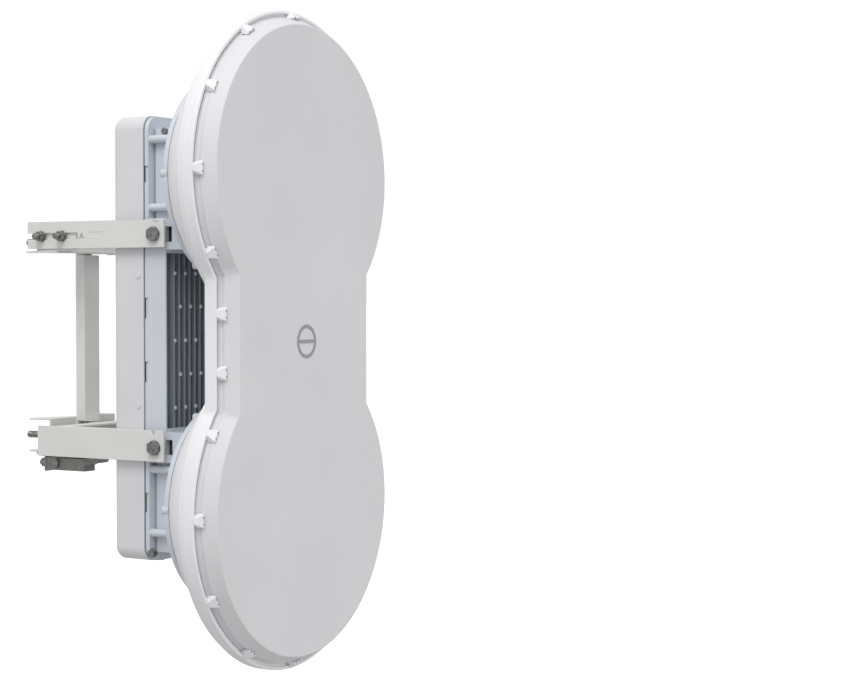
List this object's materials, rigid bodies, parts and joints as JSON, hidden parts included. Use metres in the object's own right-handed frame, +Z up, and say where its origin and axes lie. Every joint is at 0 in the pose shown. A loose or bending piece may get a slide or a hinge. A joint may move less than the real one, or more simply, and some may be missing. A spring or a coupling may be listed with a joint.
{
  "type": "outdoor wireless bridge",
  "caption": "Twin-dish outdoor radio bridge under one radome, with finned housing and a tilting, swivelling pole bracket.",
  "frame": {"origin": "centre of the four pole clamp studs, on the rear face of the pole channels' webs", "axes": "-Y the way the dishes look, +Y towards the pole, +Z up, +X to the right seen from the front"},
  "size_m": [0.4682, 0.4665, 0.9384],
  "materials": {
    "radome_plastic": "satin moulded plastic",
    "emblem_grey": "smooth grey plastic",
    "shell_plastic": "smooth white moulded plastic",
    "cast_housing": "powder-coated die casting",
    "heatsink_grey": "dark grey anodised fins",
    "cover_paint": "powder-coated casting",
    "bracket_paint": "powder-coated steel",
    "fastener_steel": "bright steel fasteners",
    "zinc_plate": "dull zinc-plated casting",
    "seal_rubber": "black rubber",
    "bare_aluminium": "spun aluminium",
    "circuit_board": "solder-masked glass fibre",
    "tinned_shield": "tin-plated steel"
  },
  "bodies": {
    "radio": {"radome": "radome_plastic", "emblem": "emblem_grey", "front_rim": "shell_plastic", "clip_tabs": "shell_plastic", "clip_screws": "fastener_steel", "ring_screws": "fastener_steel", "chassis": "cast_housing", "ear_plugs": "seal_rubber", "neck_bolts": "fastener_steel", "heatsink": "heatsink_grey", "fin_bosses": "cast_housing", "main_board": "circuit_board", "rf_shields": "tinned_shield", "gps_antenna": "circuit_board", "ethernet_jacks": "tinned_shield", "jack_board": "circuit_board", "cover_gasket": "seal_rubber", "rear_cover": "cover_paint", "cover_screws": "cover_paint", "vent_plug": "seal_rubber", "ground_screw": "fastener_steel", "pivot_washers": "fastener_steel", "upper_bowl": "shell_plastic", "lower_bowl": "shell_plastic", "upper_reflector": "bare_aluminium", "lower_reflector": "bare_aluminium", "upper_feed": "bare_aluminium", "lower_feed": "bare_aluminium", "upper_subreflector": "bare_aluminium", "lower_subreflector": "bare_aluminium", "upper_ring_gasket": "seal_rubber", "lower_ring_gasket": "seal_rubber", "upper_backing_ring": "cast_housing", "lower_backing_ring": "cast_housing", "upper_transceiver": "bare_aluminium", "lower_transceiver": "bare_aluminium", "upper_pivot_bolts": "fastener_steel", "lower_pivot_bolts": "fastener_steel"},
    "port_hatch": {"port_cover": "cover_paint", "cable_grommets": "seal_rubber"},
    "upper_arms": {"left_upper_arm": "bracket_paint", "right_upper_arm": "bracket_paint"},
    "yoke": {"lower_yoke": "bracket_paint", "upper_cradle": "bracket_paint", "lock_bolts": "fastener_steel", "lock_washers": "fastener_steel", "lock_nuts": "fastener_steel", "swivel_bolts": "fastener_steel", "azimuth_lever": "zinc_plate", "lever_screw": "fastener_steel"},
    "pole_bracket": {"column": "bracket_paint", "upper_pole_channel": "bracket_paint", "lower_pole_channel": "bracket_paint", "pole_studs": "fastener_steel", "azimuth_clevis": "zinc_plate", "clevis_bolts": "fastener_steel"},
    "azimuth_screw": {"azimuth_screw": "fastener_steel"},
    "azimuth_nut": {"azimuth_nut": "zinc_plate"}
  },
  "joints": [
    {"name": "azimuth", "type": "hinge", "parent": "pole_bracket", "child": "yoke", "pos_m": [0, -0.015, 0], "axis": [0, 0, 1], "range_deg": [-10, 10]},
    {"name": "elevation", "type": "hinge", "parent": "yoke", "child": "radio", "pos_m": [0, -0.214, -0.153], "axis": [1, 0, 0], "range_deg": [-4.5, 4.5]},
    {"name": "upper_arm_slide", "type": "slide", "parent": "yoke", "child": "upper_arms", "axis": [0, -1, 0], "range_m": [-0.0245, 0.0245]},
    {"name": "azimuth_screw_spin", "type": "hinge", "parent": "pole_bracket", "child": "azimuth_screw", "pos_m": [-0.06, -0.015, -0.186], "axis": [0, 1, 0], "range_deg": [-3100, 3100]},
    {"name": "azimuth_nut_travel", "type": "slide", "parent": "pole_bracket", "child": "azimuth_nut", "axis": [0, -1, 0], "range_m": [-0.011, 0.011]},
    {"name": "port_cover_slide", "type": "slide", "parent": "radio", "child": "port_hatch", "axis": [0, 0, -1], "range_m": [0, 0.04]}
  ],
  "couplings": [
    {"joint": "upper_arm_slide", "follows": "elevation", "m_per_rad": 0.306},
    {"joint": "azimuth_nut_travel", "follows": "azimuth", "m_per_rad": 0.06},
    {"joint": "azimuth_screw_spin", "follows": "azimuth", "ratio": 301.59}
  ]
}
